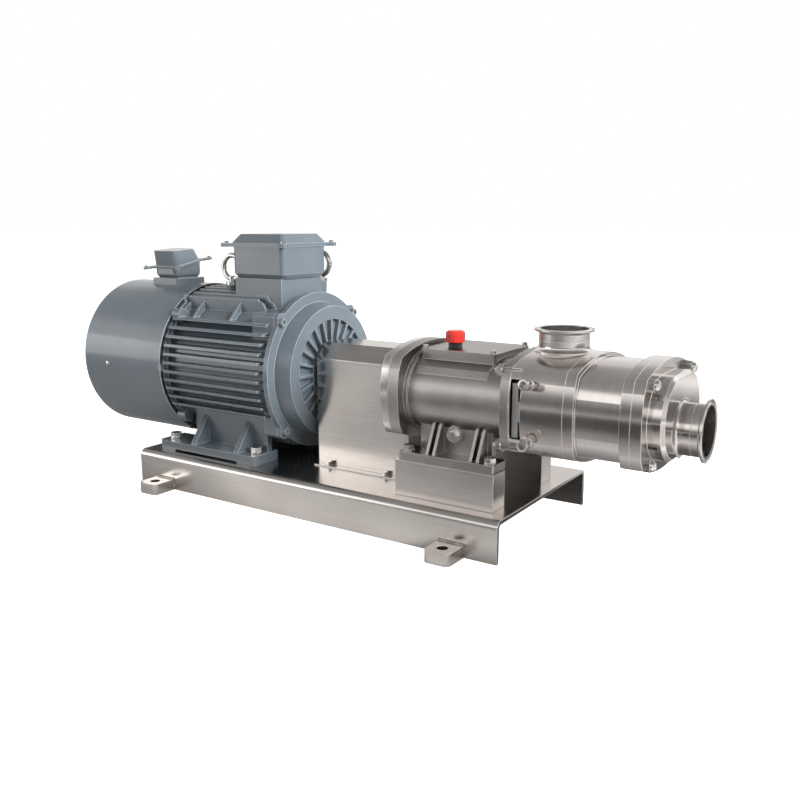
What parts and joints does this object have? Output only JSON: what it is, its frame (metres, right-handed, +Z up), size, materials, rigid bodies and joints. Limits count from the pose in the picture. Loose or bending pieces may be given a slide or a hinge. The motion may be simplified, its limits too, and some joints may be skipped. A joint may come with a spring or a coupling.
{
  "type": "twin screw pump set",
  "caption": "Twin screw pump with clamp ferrule ports, coupled through a guarded elastic coupling to a finned electric motor with a forced cooling fan, all on a bent stainless base.",
  "frame": {"origin": "on the floor in the middle of the four fixing holes of the base", "axes": "+X along the shafts towards the suction port, +Z up, the drive shaft above Y = 0"},
  "size_m": [1.2084, 0.4292, 0.4725],
  "materials": {
    "brushed_stainless": "brushed stainless sheet and plate",
    "machined_stainless": "turned and polished stainless",
    "blasted_stainless": "fine blasted stainless casting",
    "motor_enamel": "blue grey enamel on cast iron",
    "zinc_fasteners": "bright stainless and zinc plated fasteners",
    "electrical_steel": "laminated steel",
    "winding": "varnished copper",
    "bearing_steel": "ground bearing steel",
    "shaft_steel": "ground shaft steel",
    "screw_steel": "polished stainless",
    "hub_iron": "turned cast iron",
    "grille_wire": "enamelled wire",
    "fan_plastic": "moulded plastic",
    "spider_rubber": "cast elastomer",
    "seal_black": "black seal rings",
    "shield_grey": "matte stainless",
    "cap_red": "red moulded plastic"
  },
  "bodies": {
    "base": {"base_channel": "brushed_stainless", "base_foot_lugs": "brushed_stainless", "support_blocks": "brushed_stainless", "motor_frame": "motor_enamel", "motor_feet": "motor_enamel", "motor_foot_bolts": "zinc_fasteners", "drive_end_shield": "motor_enamel", "rear_end_shield": "motor_enamel", "motor_screws": "zinc_fasteners", "stator_core": "electrical_steel", "stator_windings": "winding", "motor_bearing_outers": "bearing_steel", "fan_cowl": "motor_enamel", "cowl_grille": "grille_wire", "fan_motor": "motor_enamel", "terminal_box": "motor_enamel", "terminal_box_lid": "motor_enamel", "terminal_lid_screws": "zinc_fasteners", "aux_terminal_box": "motor_enamel", "aux_terminal_lid": "motor_enamel", "lifting_eyes": "zinc_fasteners", "coupling_guard": "brushed_stainless", "guard_bolts": "zinc_fasteners", "gear_cover": "machined_stainless", "gear_cover_bolts": "zinc_fasteners", "bearing_housing": "blasted_stainless", "housing_lid": "blasted_stainless", "housing_lid_screws": "zinc_fasteners", "filler_cap": "cap_red", "drain_plug": "zinc_fasteners", "shaft_seal_rings": "seal_black", "bearing_outer_rings": "bearing_steel", "housing_nuts": "zinc_fasteners", "pump_foot_bolts": "zinc_fasteners", "seal_chamber": "machined_stainless", "seal_seats": "seal_black", "seal_shields": "shield_grey", "flush_nipples": "machined_stainless", "discharge_ferrule": "machined_stainless", "rotor_casing": "machined_stainless", "front_cover": "machined_stainless", "cover_nuts": "zinc_fasteners", "suction_ferrule": "machined_stainless"},
    "drive_line": {"motor_shaft": "shaft_steel", "rotor_core": "electrical_steel", "motor_bearing_inners": "bearing_steel", "coupling_hub_motor": "hub_iron", "coupling_spider": "spider_rubber", "coupling_hub_pump": "hub_iron", "drive_shaft": "shaft_steel", "drive_bearing_inners": "bearing_steel", "drive_gear": "shaft_steel", "drive_screw": "screw_steel", "drive_screw_nut": "screw_steel"},
    "driven_line": {"driven_shaft": "shaft_steel", "driven_bearing_inners": "bearing_steel", "driven_gear": "shaft_steel", "driven_screw": "screw_steel", "driven_screw_nut": "screw_steel"},
    "fan": {"cooling_fan": "fan_plastic"}
  },
  "joints": [
    {"name": "drive_spin", "type": "hinge", "parent": "base", "child": "drive_line", "pos_m": [0.2, 0, 0.226], "axis": [1, 0, 0], "continuous": true},
    {"name": "driven_spin", "type": "hinge", "parent": "base", "child": "driven_line", "pos_m": [0.3, -0.058, 0.226], "axis": [1, 0, 0], "continuous": true},
    {"name": "fan_spin", "type": "hinge", "parent": "base", "child": "fan", "pos_m": [-0.51, 0, 0.226], "axis": [1, 0, 0], "continuous": true}
  ],
  "couplings": [
    {"joint": "driven_spin", "follows": "drive_spin", "ratio": -1}
  ]
}
